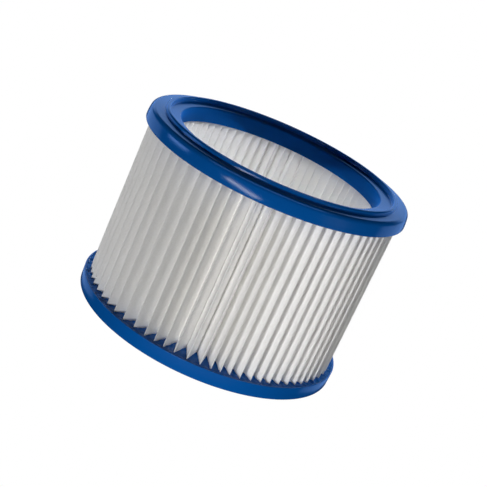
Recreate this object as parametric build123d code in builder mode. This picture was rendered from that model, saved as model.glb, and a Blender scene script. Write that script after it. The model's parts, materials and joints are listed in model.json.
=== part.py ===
from build123d import *
from math import cos, degrees, radians, sin
import os

os.makedirs("parts", exist_ok=True)

# Vacuum cartridge filter, in millimetres. The pleats stand upright around the Z axis.
# The origin is the centre of the face that the bottom end cap stands on.

# Whole filter
filter_height = 135.0
bore_diameter = 143.0
cap_overhang = 4.2

# Pleated media
pleat_count = 70
pleat_depth = 17.1
media_thickness = 0.6
fold_width = 1.0
front_pleat_angle = -94.05

# Wander of the pleats from an even pitch: waves around the ring, swing and phase in degrees
pitch_waves = (
    (2, 2.0, 90),
    (3, 1.2, 119),
    (10, 0.5, -19),
    (14, 0.45, 5),
)

# Casting that closes over the pleat ends and along the bore
top_cover = 4.8
bottom_cover = 3.7
bore_cover = 0.7

# Top end cap
top_cap_height = 13.5
band_straight = 4.0
band_taper = 1.1
band_lower_round = 1.8
shoulder_round = 3.0
rim_height = 2.7
rim_width = 3.25
rim_outer_round = 1.4
rim_inner_round = 0.8
ledge_width = 8.75
ledge_drop = 3.2
bore_round = 1.5

# Bottom end cap
bottom_cap_height = 9.7
bottom_draft = 0.3
bottom_round = 1.0

# Straight facets that each rounded edge of a cap is cut into
facets_per_round = 2

# Radii and heights that follow from the sizes above
bore_radius = bore_diameter / 2
fold_inner_radius = bore_radius + bore_cover
fold_outer_radius = fold_inner_radius + pleat_depth
cap_radius = fold_outer_radius + cap_overhang
rim_inner_radius = bore_radius + ledge_width
rim_outer_radius = rim_inner_radius + rim_width
shoulder_z = filter_height - rim_height
ledge_z = filter_height - ledge_drop
underside_z = filter_height - top_cap_height
media_height = shoulder_z - top_cover - bottom_cover


def polar(radius, angle):
    """Point at a radius from the Z axis and an angle in degrees from +X."""
    return (radius * cos(radians(angle)), radius * sin(radians(angle)))


def pleat_angle(index):
    """Angle of an outer fold: an even pitch with the slow wander of a sheet gathered by hand."""
    turn = 360 * index / pleat_count
    wander = sum(swing * sin(radians(waves * turn + phase)) for waves, swing, phase in pitch_waves)
    return front_pleat_angle + turn + wander


def fold_edges(radius, angle):
    """The two edges of the narrow flat that runs along the outside of a fold."""
    half_turn = degrees(fold_width / 2 / radius)
    return [polar(radius, angle - half_turn), polar(radius, angle + half_turn)]


def cap_outline(corners, rounds):
    """Closed outline of a cap's wall, with a round at each corner cut into straight facets."""
    smooth_outline = FilletPolyline(*corners, radius=rounds, close=True, mode=Mode.PRIVATE)
    points = []
    for edge in smooth_outline.edges():
        steps = facets_per_round if edge.geom_type == GeomType.CIRCLE else 1
        points += [edge @ (step / steps) for step in range(steps)]
    return Polyline(*points, close=True)


# The folded sheet's two faces as closed zigzags, the outside one and the one towards the bore
outside_face = []
bore_face = []
for index in range(pleat_count):
    outer_fold = pleat_angle(index)
    inner_fold = (outer_fold + pleat_angle(index + 1)) / 2
    outside_face += fold_edges(fold_outer_radius, outer_fold)
    outside_face.append(polar(fold_inner_radius + media_thickness, inner_fold))
    bore_face.append(polar(fold_outer_radius - media_thickness, outer_fold))
    bore_face += fold_edges(fold_inner_radius, inner_fold)

with BuildSketch(Plane.XY.offset(bottom_cover)) as pleat_section:
    with BuildLine():
        Polyline(*outside_face, close=True)
    make_face()
    with BuildLine():
        Polyline(*bore_face, close=True)
    make_face(mode=Mode.SUBTRACT)

# Pleated media: one folded sheet that reaches into both caps
with BuildPart() as pleated_media:
    add(pleat_section.sketch)
    extrude(amount=media_height)

# Top end cap, cast around the upper pleat ends
with BuildPart() as top_end_cap:
    with BuildSketch(Plane.XZ):
        with BuildLine():
            cap_outline(
                corners=[
                    (bore_radius, underside_z),
                    (cap_radius, underside_z),
                    (cap_radius, underside_z + band_straight),
                    (cap_radius - band_taper, shoulder_z),
                    (rim_outer_radius, shoulder_z),
                    (rim_outer_radius, filter_height),
                    (rim_inner_radius, filter_height),
                    (rim_inner_radius, ledge_z),
                    (bore_radius, ledge_z),
                ],
                rounds=[
                    0,
                    band_lower_round,
                    0,
                    shoulder_round,
                    0,
                    rim_outer_round,
                    rim_inner_round,
                    0,
                    bore_round,
                ],
            )
        make_face()
    revolve(axis=Axis.Z)
    add(pleat_section.sketch)
    extrude(amount=media_height, mode=Mode.SUBTRACT)

# Bottom end cap, cast around the lower pleat ends
with BuildPart() as bottom_end_cap:
    with BuildSketch(Plane.XZ):
        with BuildLine():
            cap_outline(
                corners=[
                    (bore_radius, 0),
                    (cap_radius - bottom_draft, 0),
                    (cap_radius, bottom_cap_height),
                    (bore_radius, bottom_cap_height),
                ],
                rounds=[0, bottom_round, 0, 0],
            )
        make_face()
    revolve(axis=Axis.Z)
    add(pleat_section.sketch)
    extrude(amount=media_height, mode=Mode.SUBTRACT)

top_end_cap.part.label = "top_end_cap"
pleated_media.part.label = "pleated_media"
bottom_end_cap.part.label = "bottom_end_cap"

export_step(top_end_cap.part, "parts/top_end_cap.step")
export_step(pleated_media.part, "parts/pleated_media.step")
export_step(bottom_end_cap.part, "parts/bottom_end_cap.step")
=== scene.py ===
import json
import math

import bmesh
import bpy
from mathutils import Matrix, Vector


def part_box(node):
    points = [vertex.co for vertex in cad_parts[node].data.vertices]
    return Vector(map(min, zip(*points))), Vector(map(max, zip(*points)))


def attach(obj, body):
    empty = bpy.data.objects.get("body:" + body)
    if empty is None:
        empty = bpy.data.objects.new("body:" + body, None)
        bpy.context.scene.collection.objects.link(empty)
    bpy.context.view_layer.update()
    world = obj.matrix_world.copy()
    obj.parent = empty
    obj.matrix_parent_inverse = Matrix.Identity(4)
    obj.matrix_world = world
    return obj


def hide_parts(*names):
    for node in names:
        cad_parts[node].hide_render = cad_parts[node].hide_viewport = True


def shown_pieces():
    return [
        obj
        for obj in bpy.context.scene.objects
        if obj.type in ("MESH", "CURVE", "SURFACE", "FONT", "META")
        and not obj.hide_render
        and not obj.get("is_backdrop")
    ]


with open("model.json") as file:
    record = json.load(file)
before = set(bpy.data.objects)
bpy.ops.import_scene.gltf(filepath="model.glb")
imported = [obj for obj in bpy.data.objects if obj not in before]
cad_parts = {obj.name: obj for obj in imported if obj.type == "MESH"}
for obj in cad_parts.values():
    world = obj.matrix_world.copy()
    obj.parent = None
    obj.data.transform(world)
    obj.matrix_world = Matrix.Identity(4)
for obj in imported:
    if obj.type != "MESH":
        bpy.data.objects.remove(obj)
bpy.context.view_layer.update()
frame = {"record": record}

bl_info = {
    "name": "Vacuum cartridge filter",
    "version": (1, 0, 0),
    "blender": (4, 5, 0),
    "location": "3D View > Sidebar > Filter",
    "description": "Dresses the packed cartridge filter: two cast end caps and a folded fleece, on a light table",
    "category": "Object",
}

MM = 0.001
TOP_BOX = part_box("top_end_cap")
BOTTOM_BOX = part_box("bottom_end_cap")
MEDIA_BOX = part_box("pleated_media")
BORE_RADIUS = next(m["dims"]["r_mm"] for m in frame["record"]["mounts"] if m["name"] == "top_bore") * MM

# Wander of the pleats from an even pitch: waves around the ring, swing and phase in degrees
PITCH_WAVES = ((2, 2.0, 90), (3, 1.2, 119), (10, 0.5, -19), (14, 0.45, 5))

# Lamps that light the pieces: bearing from the front towards +X, height and turn in degrees; distance, width and
# height in metres; radiance; pieces that they light
LAMPS = (
    ("key_lamp", -20, -4, 0, 3.0, 0.06, 0.06, 3757.0, "all"),
    ("right_fill", 82, 2, 0, 1.2, 0.5, 0.5, 10.0, "fleece"),
    ("strip_light", 10, 0, 0, 0.14, 0.02, 0.16, 1.35, "fleece"),
    ("table_glow", 0, -90, 0, 0.067, 0.1, 0.1, 1.5, "fleece"),
    ("top_glow", -35, 68, 0, 0.15, 0.06, 0.06, 8.0, "fleece"),
    ("opening_light", -52, 58, 0, 0.14, 0.03, 0.03, 14.0, "fleece"),
    ("back_fill", 180, 13, 0, 1.5, 1.8, 0.3, 16.0, "fleece"),
    ("back_light", 180, 13, 0, 1.5, 2.4, 0.3, 36.0, "casting"),
    ("left_back_light", -130, 6, 0, 1.2, 0.5, 0.3, 14.0, "casting"),
    ("right_back_light", 130, 6, 0, 1.2, 0.5, 0.3, 14.0, "casting"),
    ("bore_light", 180, 45, 0, 0.0845, 0.04, 0.01, 40.0, "casting"),
    ("right_light", 60, 2, 0, 1.2, 0.5, 0.5, 5.0, "casting"),
    ("table_light", 0, -22, 0, 0.237, 0.3, 0.08, 1.2, "casting"),
)
# Cards that only show in the gloss, placed in the same way; radiance; colour
CARDS = (
    ("softbox", -17, -4, -20, 1.5, 0.8, 0.16, 11.0, "floor"),
    ("left_card", -82, 5, 0, 1.2, 0.5, 0.2, 6.0, "card"),
    ("left_wall", -130, -8, 0, 1.2, 1.0, 0.8, 1.0, "card"),
    ("right_wall", 130, -8, 0, 1.2, 1.0, 0.8, 1.0, "card"),
    ("back_wall", 180, 14, 0, 1.5, 2.0, 0.6, 1.2, "card"),
    ("top_card", 0, 80, 0, 1.2, 1.5, 0.4, 3.0, "card"),
)


def linear(hex_colour):
    """Linear RGBA of an sRGB hex colour."""
    parts = [int(hex_colour[i:i + 2], 16) / 255 for i in (1, 3, 5)]
    return tuple(c / 12.92 if c <= 0.04045 else ((c + 0.055) / 1.055) ** 2.4 for c in parts) + (1.0,)


def length(name, description, default):
    """A size in metres that shows in the sidebar."""
    return bpy.props.FloatProperty(name=name, description=description, default=default, unit="LENGTH", precision=5)


def colour(name, description, default):
    """A colour that shows in the sidebar."""
    return bpy.props.FloatVectorProperty(
        name=name, description=description, default=linear(default), size=4, min=0, max=1, subtype="COLOR"
    )


class FilterSizes(bpy.types.PropertyGroup):
    """Sizes of the dressed filter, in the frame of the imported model."""

    height: length("Height", "Floor to the top of the sealing rim", TOP_BOX[1].z)
    bore_radius: length("Bore radius", "Radius of both bores", BORE_RADIUS)
    cap_radius: length("Cap radius", "Outer radius of both end caps", TOP_BOX[1].x)
    underside: length("Top cap underside", "Height of the top cap's underside", TOP_BOX[0].z)
    shoulder: length("Shoulder", "Height of the top cap's shoulder", TOP_BOX[1].z - 2.7 * MM)
    ledge: length("Ledge", "Height of the ledge inside the rim", TOP_BOX[1].z - 3.2 * MM)
    rim_outer: length("Rim outer radius", "Outer radius of the sealing rim", BORE_RADIUS + 12.0 * MM)
    rim_inner: length("Rim inner radius", "Inner radius of the sealing rim", BORE_RADIUS + 8.75 * MM)
    bottom_height: length("Bottom cap height", "Height of the bottom cap's wall", BOTTOM_BOX[1].z)
    media_bottom: length("Fleece bottom", "Lower end of the fleece, inside the bottom cap", MEDIA_BOX[0].z)
    media_top: length("Fleece top", "Upper end of the fleece, inside the top cap", MEDIA_BOX[1].z)
    fold_inner: length("Inner folds", "Radius of the folds on the bore side", BORE_RADIUS + 0.7 * MM)
    fold_outer: length("Outer folds", "Radius of the folds on the outside", BORE_RADIUS + 17.8 * MM)
    fleece: length("Fleece thickness", "Thickness of the fleece sheet", 0.3 * MM)
    pleats: bpy.props.IntProperty(name="Pleats", description="Number of pleats", default=70, min=12)
    front_pleat: bpy.props.FloatProperty(
        name="Front pleat",
        description="Direction of the first outer fold, from +X",
        default=math.radians(-94.05),
        subtype="ANGLE",
    )


class FilterColours(bpy.types.PropertyGroup):
    """Colours of the filter and its stage."""

    casting: colour("Casting", "Main colour of the cast end caps", "#0655A3")
    casting_deep: colour("Casting, deep", "Colour of the casting where the pigment is denser", "#05519C")
    fleece: colour("Fleece", "Main colour of the fleece", "#FFFFFF")
    fleece_dense: colour("Fleece, dense", "Colour of the fleece where fibres lie closer", "#F3F2EF")
    floor: colour("Floor", "Colour of the light table", "#FFFFFF")
    card: colour("Cards", "Colour of the cards that show in the gloss", "#8CB8FF")


def start_fresh():
    """Object mode with nothing selected, so that the next operator acts on its own piece alone."""
    if bpy.context.object and bpy.context.object.mode != "OBJECT":
        bpy.ops.object.mode_set(mode="OBJECT")
    bpy.ops.object.select_all(action="DESELECT")


def select_where(piece, kind, test):
    """Selects the verts, edges or faces of a piece in edit mode that pass a test, and nothing else."""
    bpy.ops.mesh.select_all(action="DESELECT")
    bpy.ops.mesh.select_mode(type={"verts": "VERT", "edges": "EDGE", "faces": "FACE"}[kind])
    mesh = bmesh.from_edit_mesh(piece.data)
    found = 0
    for part in getattr(mesh, kind):
        part.select = bool(test(part))
        found += part.select
    mesh.select_flush_mode()
    bmesh.update_edit_mesh(piece.data)
    if not found:
        raise RuntimeError(f"{piece.name}: nothing was found to select")


def radius_of(point):
    """Distance of a point from the filter's axis."""
    return math.hypot(point[0], point[1])


def turned_ring(name, corners, segments=420):
    """A closed ring turned about the filter's axis from the (radius, height) corners of its wall."""
    start_fresh()
    radius, height = corners[0]
    bpy.ops.mesh.primitive_circle_add(vertices=segments, radius=radius, location=(0, 0, height))
    ring = bpy.context.object
    ring.name = ring.data.name = name
    bpy.ops.object.transform_apply(location=True, rotation=True, scale=True)
    bpy.ops.object.mode_set(mode="EDIT")
    bpy.ops.mesh.select_all(action="SELECT")
    for next_radius, next_height in corners[1:] + corners[:1]:
        bpy.ops.mesh.extrude_region_move(TRANSFORM_OT_translate={"value": (0, 0, next_height - height)})
        grow = next_radius / radius
        bpy.ops.transform.resize(value=(grow, grow, 1), center_override=(0, 0, 0))
        radius, height = next_radius, next_height
    bpy.ops.mesh.select_all(action="SELECT")
    bpy.ops.mesh.remove_doubles(threshold=0.001 * MM)
    bpy.ops.mesh.normals_make_consistent(inside=False)
    return ring


def round_edge(ring, corner, size, segments):
    """Rounds the edge that runs around a ring at a (radius, height) corner."""

    def on_corner(edge):
        return all(
            abs(radius_of(v.co) - corner[0]) < 0.01 * MM and abs(v.co.z - corner[1]) < 0.01 * MM for v in edge.verts
        )

    select_where(ring, "edges", on_corner)
    bpy.ops.mesh.bevel(offset=size, offset_type="OFFSET", segments=segments, profile=0.5, affect="EDGES")


def finish_piece(piece, node, material, sharp_angle):
    """Shades a piece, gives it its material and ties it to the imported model."""
    if bpy.context.object.mode != "OBJECT":
        bpy.ops.object.mode_set(mode="OBJECT")
    bpy.ops.object.shade_smooth_by_angle(angle=sharp_angle)
    piece.data.materials.clear()
    piece.data.materials.append(material)
    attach(piece, "root")
    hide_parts(node)


def apply_modifier(piece, kind, **settings):
    """Adds a modifier with its settings and applies it."""
    modifier = piece.modifiers.new(kind.title(), kind)
    for name, value in settings.items():
        setattr(modifier, name, value)
    bpy.ops.object.modifier_apply(modifier=modifier.name)


def add_node(tree, kind, settings=(), links=()):
    """Adds a node; settings are attributes or input values by name, links are (input, output socket) pairs."""
    node = tree.nodes.new(kind)
    for name, value in dict(settings).items():
        if hasattr(node, name):
            setattr(node, name, value)
        else:
            node.inputs[name].default_value = value
    for name, source in links:
        tree.links.new(source, node.inputs[name])
    return node


def empty_material(name):
    """A material with no nodes yet."""
    material = bpy.data.materials.new(name)
    material.use_nodes = True
    material.node_tree.nodes.clear()
    return material


def cast_polyurethane(colours, name, roughness, shine):
    """Cast polyurethane: a deep blue, a little cloudy, with faint flow ripples; glossy from a smooth mould, duller where
    it set in the open air."""
    if name in bpy.data.materials:
        return bpy.data.materials[name]
    material = empty_material(name)
    tree = material.node_tree
    place = add_node(tree, "ShaderNodeTexCoord").outputs["Object"]
    # Pigment clouds about 14 mm across
    clouds = add_node(
        tree, "ShaderNodeTexNoise", {"Scale": 1 / (14 * MM), "Detail": 3.0, "Roughness": 0.55}, [("Vector", place)]
    )
    tint = add_node(
        tree,
        "ShaderNodeMix",
        {"data_type": "RGBA"},
        [("Factor", clouds.outputs["Fac"])],
    )
    tint.inputs[6].default_value = colours.casting_deep
    tint.inputs[7].default_value = colours.casting
    # Flow ripples about 9 mm long, which bend the reflections a little
    ripples = add_node(
        tree, "ShaderNodeTexNoise", {"Scale": 1 / (9 * MM), "Detail": 1.0, "Roughness": 0.4}, [("Vector", place)]
    )
    bump = add_node(
        tree,
        "ShaderNodeBump",
        {"Strength": 0.25, "Distance": 0.15 * MM},
        [("Height", ripples.outputs["Fac"])],
    )
    shader = add_node(
        tree,
        "ShaderNodeBsdfPrincipled",
        {"IOR": 1.5, "Roughness": roughness, "Specular IOR Level": shine},
        [("Base Color", tint.outputs[2]), ("Normal", bump.outputs["Normal"])],
    )
    add_node(tree, "ShaderNodeOutputMaterial", (), [("Surface", shader.outputs["BSDF"])])
    return material


def mould_face(colours):
    """Casting as it comes out of a polished mould: sharp, clear highlights."""
    return cast_polyurethane(colours, "polyurethane_cast_in_open_mould", 0.17, 0.35)


def air_face(colours):
    """Casting that set in the open air: a dull skin that shows its own blue and hardly mirrors the fleece."""
    return cast_polyurethane(colours, "polyurethane_set_in_open_air", 0.4, 0.12)


def core_face(colours):
    """Casting against a blasted core: the bore is matt and throws hardly any highlight."""
    return cast_polyurethane(colours, "polyurethane_cast_on_blasted_core", 0.65, 0.05)


def give_faces(piece, material, test):
    """Gives the faces of a piece that pass a test a material of their own."""
    piece.data.materials.append(material)
    bpy.ops.object.mode_set(mode="EDIT")
    select_where(piece, "faces", test)
    piece.active_material_index = len(piece.data.materials) - 1
    bpy.ops.object.material_slot_assign()
    bpy.ops.object.mode_set(mode="OBJECT")


def polyester_fleece(colours):
    """Spunbond polyester fleece, calendered flat: matt white, cloudy where fibres lie closer, and it lets light through."""
    material = empty_material("polyester_spunbond_fleece")
    tree = material.node_tree
    place = add_node(tree, "ShaderNodeTexCoord").outputs["Object"]
    # Fibre clouds about 1.3 mm across
    clouds = add_node(
        tree, "ShaderNodeTexNoise", {"Scale": 1 / (1.3 * MM), "Detail": 3.0, "Roughness": 0.6}, [("Vector", place)]
    )
    tint = add_node(
        tree,
        "ShaderNodeMix",
        {"data_type": "RGBA"},
        [("Factor", clouds.outputs["Fac"])],
    )
    tint.inputs[6].default_value = colours.fleece_dense
    tint.inputs[7].default_value = colours.fleece
    # Fibres are about 0.03 mm thick; they are drawn 1 mm coarse, so that they show
    fibres = add_node(
        tree, "ShaderNodeTexNoise", {"Scale": 1 / (1.0 * MM), "Detail": 4.0, "Roughness": 0.7}, [("Vector", place)]
    )
    bump = add_node(
        tree,
        "ShaderNodeBump",
        {"Strength": 0.12, "Distance": 0.1 * MM},
        [("Height", fibres.outputs["Fac"])],
    )
    shader = add_node(
        tree,
        "ShaderNodeBsdfPrincipled",
        {
            "Roughness": 0.85,
            "IOR": 1.45,
            "Specular IOR Level": 0.2,
            "Subsurface Weight": 0.55,
            "Subsurface Scale": 0.8 * MM,
            "Subsurface Radius": (1.0, 1.0, 1.0),
        },
        [
            ("Base Color", tint.outputs[2]),
            ("Normal", bump.outputs["Normal"]),
        ],
    )
    add_node(tree, "ShaderNodeOutputMaterial", (), [("Surface", shader.outputs["BSDF"])])
    return material


class FILTER_OT_top_end_cap(bpy.types.Operator):
    """Turns the top end cap: crowned band, shoulder, sealing rim, ledge and bore"""

    bl_idname = "filter.top_end_cap"
    bl_label = "Top end cap"

    def execute(self, context):
        s = context.scene.filter_sizes
        bore_low = (s.bore_radius, s.underside - 0.7 * MM)
        band_low = (s.cap_radius - 0.1 * MM, s.underside + 0.5 * MM)
        band_mid = (s.cap_radius, s.underside + 4.0 * MM)
        band_top = (s.cap_radius - 1.1 * MM, s.shoulder)
        rim_foot = (s.rim_outer, s.shoulder)
        rim_outer = (s.rim_outer, s.height)
        rim_inner = (s.rim_inner, s.height)
        ledge_foot = (s.rim_inner, s.ledge)
        bore_top = (s.bore_radius, s.ledge)
        corners = [bore_low, band_low, band_mid, band_top, rim_foot, rim_outer, rim_inner, ledge_foot, bore_top]
        cap = turned_ring("top_end_cap_casting", corners)
        round_edge(cap, bore_low, 0.5 * MM, 3)
        round_edge(cap, band_low, 1.6 * MM, 5)
        round_edge(cap, band_mid, 2.2 * MM, 4)
        round_edge(cap, band_top, 2.8 * MM, 8)
        round_edge(cap, rim_foot, 0.4 * MM, 3)
        round_edge(cap, rim_outer, 1.4 * MM, 6)
        round_edge(cap, rim_inner, 0.8 * MM, 5)
        round_edge(cap, ledge_foot, 0.5 * MM, 3)
        round_edge(cap, bore_top, 1.5 * MM, 6)
        bpy.ops.object.mode_set(mode="OBJECT")
        finish_piece(
            cap, "top_end_cap", mould_face(context.scene.filter_colours), math.radians(35)
        )
        give_faces(
            cap,
            core_face(context.scene.filter_colours),
            lambda f: radius_of(f.calc_center_median()) < s.bore_radius + 0.6 * MM,
        )
        return {"FINISHED"}


class FILTER_OT_bottom_end_cap(bpy.types.Operator):
    """Turns the bottom end cap, with the uneven face that the poured casting set to"""

    bl_idname = "filter.bottom_end_cap"
    bl_label = "Bottom end cap"

    def execute(self, context):
        s = context.scene.filter_sizes
        top = s.bottom_height
        level = top - 0.5 * MM
        foot = (s.cap_radius - 0.3 * MM, 0.0)
        lip = (s.cap_radius, top)
        lip_inside = (s.cap_radius - 0.9 * MM, top)
        insets = [1.4 + 0.7 * step for step in range(8)] + [8.0, 10.0, 12.0, 14.0, 16.0, 18.0, 20.0]
        corners = [(s.bore_radius, 0.0), foot, lip, lip_inside]
        corners += [(s.cap_radius - inset * MM, level) for inset in insets]
        corners += [(s.bore_radius, level)]
        cap = turned_ring("bottom_end_cap_casting", corners, 840)
        round_edge(cap, foot, 1.0 * MM, 5)
        round_edge(cap, lip, 0.3 * MM, 3)
        round_edge(cap, lip_inside, 0.3 * MM, 3)
        bpy.ops.object.mode_set(mode="OBJECT")
        # The casting rose unevenly between the pleats as it set, in bumps about 3 mm across
        free = cap.vertex_groups.new(name="free_face")
        free.add(
            [
                v.index
                for v in cap.data.vertices
                if abs(v.co.z - level) < 0.05 * MM
                and s.bore_radius + 1.0 * MM < radius_of(v.co) < s.cap_radius - 1.6 * MM
            ],
            1.0,
            "REPLACE",
        )
        bumps = bpy.data.textures.new("casting_bumps", "CLOUDS")
        bumps.noise_scale = 3.0 * MM
        bumps.noise_depth = 1
        apply_modifier(
            cap,
            "DISPLACE",
            texture=bumps,
            vertex_group=free.name,
            direction="Z",
            mid_level=0.5,
            strength=1.4 * MM,
        )
        finish_piece(
            cap,
            "bottom_end_cap",
            mould_face(context.scene.filter_colours),
            math.radians(35),
        )
        give_faces(
            cap,
            air_face(context.scene.filter_colours),
            lambda f: f.normal.z > 0.3 and radius_of(f.calc_center_median()) < s.cap_radius - 1.0 * MM,
        )
        give_faces(
            cap,
            core_face(context.scene.filter_colours),
            lambda f: abs(f.normal.z) < 0.3 and radius_of(f.calc_center_median()) < s.bore_radius + 0.1 * MM,
        )
        return {"FINISHED"}


def fold_direction(sizes, index):
    """Direction of an outer fold from +X: an even pitch with the slow wander of a sheet gathered by hand."""
    turn = math.tau * index / sizes.pleats
    wander = sum(swing * math.sin(waves * turn + math.radians(phase)) for waves, swing, phase in PITCH_WAVES)
    return sizes.front_pleat + turn + math.radians(wander)


class FILTER_OT_pleated_media(bpy.types.Operator):
    """Folds the fleece sheet into its ring of upright pleats"""

    bl_idname = "filter.pleated_media"
    bl_label = "Pleated media"

    def execute(self, context):
        s = context.scene.filter_sizes
        start_fresh()
        outer = s.fold_outer + 0.15 * MM
        inner = s.fold_inner - 0.15 * MM
        bpy.ops.mesh.primitive_circle_add(vertices=2 * s.pleats, radius=outer, location=(0, 0, s.media_bottom))
        sheet = bpy.context.object
        sheet.name = sheet.data.name = "pleated_media_fleece"
        bpy.ops.object.transform_apply(location=True, rotation=True, scale=True)
        bpy.ops.object.mode_set(mode="EDIT")
        # Every second corner goes in to the bore side, and then each fold turns to its own direction
        step = math.tau / (2 * s.pleats)
        select_where(sheet, "verts", lambda v: round(math.atan2(v.co.y, v.co.x) / step) % 2 == 1)
        bpy.ops.transform.resize(value=(inner / outer, inner / outer, 1), center_override=(0, 0, 0))
        even = {round(math.atan2(v.co.y, v.co.x) / step) % (2 * s.pleats): v.index for v in sheet_verts(sheet)}
        for corner, vertex in even.items():
            index = corner // 2
            target = fold_direction(s, index)
            if corner % 2:
                target = (target + fold_direction(s, index + 1)) / 2
            select_where(sheet, "verts", lambda v: v.index == vertex)
            bpy.ops.transform.rotate(
                value=-(target - corner * step), orient_axis="Z", center_override=(0, 0, 0)
            )
        bpy.ops.mesh.select_all(action="SELECT")
        rises = 18
        for _ in range(rises):
            bpy.ops.mesh.extrude_region_move(
                TRANSFORM_OT_translate={"value": (0, 0, (s.media_top - s.media_bottom) / rises)}
            )
        select_where(sheet, "edges", lambda e: abs(e.verts[0].co.z - e.verts[1].co.z) < 0.001 * MM)
        bpy.ops.mesh.subdivide(number_cuts=3)
        select_where(
            sheet,
            "edges",
            lambda e: abs(e.verts[0].co.z - e.verts[1].co.z) > 0.001 * MM
            and min(abs(radius_of(e.verts[0].co) - outer), abs(radius_of(e.verts[0].co) - inner)) < 0.001 * MM,
        )
        bpy.ops.mesh.bevel(offset=0.6 * MM, offset_type="OFFSET", segments=3, profile=0.5, affect="EDGES")
        bpy.ops.mesh.select_all(action="SELECT")
        bpy.ops.mesh.normals_make_consistent(inside=False)
        bpy.ops.object.mode_set(mode="OBJECT")
        apply_modifier(sheet, "SOLIDIFY", thickness=s.fleece, offset=0.0, use_even_offset=True)
        finish_piece(
            sheet,
            "pleated_media",
            polyester_fleece(context.scene.filter_colours),
            math.radians(60),
        )
        return {"FINISHED"}


def sheet_verts(piece):
    """The vertices of a piece in edit mode, with their numbers up to date."""
    mesh = bmesh.from_edit_mesh(piece.data)
    mesh.verts.index_update()
    return mesh.verts


def glow(name, colour_value, radiance):
    """An even white glow that lights nothing else."""
    material = empty_material(name)
    tree = material.node_tree
    shine = add_node(tree, "ShaderNodeEmission", {"Color": colour_value, "Strength": radiance})
    add_node(tree, "ShaderNodeOutputMaterial", (), [("Surface", shine.outputs["Emission"])])
    material.cycles.emission_sampling = "NONE"
    return material


def facing(middle, bearing, height, turn, distance):
    """Placement of a lamp or card that looks at the middle of the filter."""
    bearing, height = math.radians(bearing), math.radians(height)
    towards = Vector(
        (math.sin(bearing) * math.cos(height), -math.cos(bearing) * math.cos(height), math.sin(height))
    )
    look = towards.to_track_quat("Z", "Y").to_matrix().to_4x4()
    return Matrix.Translation(middle + distance * towards) @ look @ Matrix.Rotation(math.radians(turn), 4, "Z")


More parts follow.
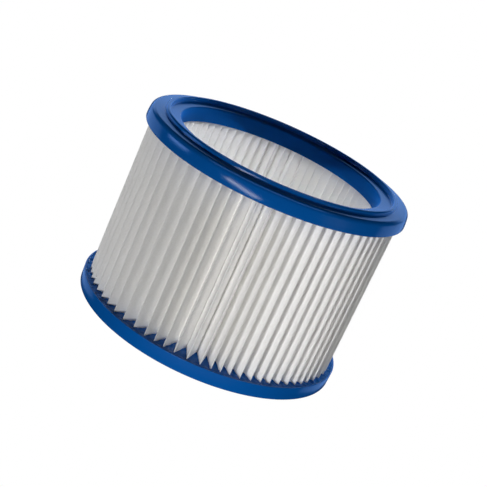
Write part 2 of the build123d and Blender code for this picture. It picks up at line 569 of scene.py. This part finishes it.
class FILTER_OT_stage(bpy.types.Operator):
    """Sets the light table, the lights, the surroundings and the camera"""

    bl_idname = "filter.stage"
    bl_label = "Stage"

    def execute(self, context):
        s = context.scene.filter_sizes
        colours = context.scene.filter_colours
        start_fresh()
        bpy.ops.mesh.primitive_plane_add(size=60.0, location=(0, 0, 0))
        floor = bpy.context.object
        floor.name = floor.data.name = "light_table"
        floor.data.materials.append(glow("white_acrylic", colours.floor, 1.0))
        # The table only shows behind the filter; the lamps below do the lighting
        floor.visible_glossy = False
        floor.visible_diffuse = False
        floor.visible_transmission = False
        floor.visible_shadow = False
        floor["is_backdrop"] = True

        world = bpy.data.worlds.new("white_surroundings")
        context.scene.world = world
        world.use_nodes = True
        world.node_tree.nodes["Background"].inputs["Color"].default_value = colours.floor
        world.cycles_visibility.diffuse = False
        world.cycles_visibility.glossy = False
        world.cycles_visibility.transmission = False
        world.cycles_visibility.scatter = False
        context.scene.view_settings.view_transform = "Standard"
        # Deep white folds fill with light that is thrown back and forth many times
        context.scene.cycles.max_bounces = 16
        context.scene.cycles.diffuse_bounces = 16

        middle = Vector((0, 0, s.height / 2))
        lit = {kind: bpy.data.collections.new(f"lit_{kind}") for kind in ("fleece", "casting")}
        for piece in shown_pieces():
            for kind, group in lit.items():
                if piece.name.endswith(kind):
                    group.objects.link(piece)
        for name, bearing, height, turn, distance, width, tall, radiance, pieces in LAMPS:
            bpy.ops.object.light_add(type="AREA")
            lamp = bpy.context.object
            lamp.name = lamp.data.name = name
            lamp.data.shape = "RECTANGLE"
            lamp.data.size = width
            lamp.data.size_y = tall
            lamp.data.energy = radiance * math.pi * width * tall
            lamp.matrix_world = facing(middle, bearing, height, turn, distance)
            lamp.visible_camera = False
            lamp.visible_glossy = False
            lamp.light_linking.receiver_collection = lit.get(pieces)
        for name, bearing, height, turn, distance, width, tall, radiance, tone in CARDS:
            start_fresh()
            bpy.ops.mesh.primitive_plane_add(size=1.0)
            bpy.ops.transform.resize(value=(width, tall, 1))
            bpy.ops.object.transform_apply(location=False, rotation=False, scale=True)
            card = bpy.context.object
            card.name = card.data.name = name
            card.matrix_world = facing(middle, bearing, height, turn, distance)
            card.data.materials.append(glow(name, getattr(colours, tone), radiance))
            card.visible_camera = card.visible_diffuse = card.visible_shadow = card.visible_transmission = False
            card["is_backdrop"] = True

        bpy.ops.object.camera_add()
        camera = bpy.context.object
        camera.name = "camera"
        camera.data.sensor_width = 36.0
        camera.data.lens = 36.0 * 1179.83 / 487
        eye = Vector((0.00028, -0.76555, 0.31614))
        target = Vector((0.00086, 0.0, 0.0646))
        ahead = (target - eye).normalized()
        right = ahead.cross(Vector((0, 0, 1))).normalized()
        up = right.cross(ahead)
        roll = math.radians(24.4)
        turned_right = math.cos(roll) * right + math.sin(roll) * up
        turned_up = math.cos(roll) * up - math.sin(roll) * right
        camera.matrix_world = Matrix.Translation(eye) @ Matrix((turned_right, turned_up, -ahead)).transposed().to_4x4()
        camera.data.clip_end = 100
        context.scene.camera = camera
        return {"FINISHED"}


class FILTER_PT_panel(bpy.types.Panel):
    """Sizes, colours and steps of the filter"""

    bl_idname = "FILTER_PT_panel"
    bl_label = "Cartridge filter"
    bl_space_type = "VIEW_3D"
    bl_region_type = "UI"
    bl_category = "Filter"

    def draw(self, context):
        for group in (context.scene.filter_sizes, context.scene.filter_colours):
            box = self.layout.box()
            for name in group.__annotations__:
                box.prop(group, name)
        for step in STEPS:
            self.layout.operator(step.bl_idname)


STEPS = (FILTER_OT_top_end_cap, FILTER_OT_pleated_media, FILTER_OT_bottom_end_cap, FILTER_OT_stage)
CLASSES = (FilterSizes, FilterColours, *STEPS, FILTER_PT_panel)


def register():
    for kind in CLASSES:
        bpy.utils.register_class(kind)
    bpy.types.Scene.filter_sizes = bpy.props.PointerProperty(type=FilterSizes)
    bpy.types.Scene.filter_colours = bpy.props.PointerProperty(type=FilterColours)


def unregister():
    del bpy.types.Scene.filter_colours
    del bpy.types.Scene.filter_sizes
    for kind in reversed(CLASSES):
        bpy.utils.unregister_class(kind)


def main():
    register()
    bpy.ops.filter.top_end_cap()
    bpy.ops.filter.pleated_media()
    bpy.ops.filter.bottom_end_cap()
    bpy.ops.filter.stage()


if __name__ == "__main__":
    main()
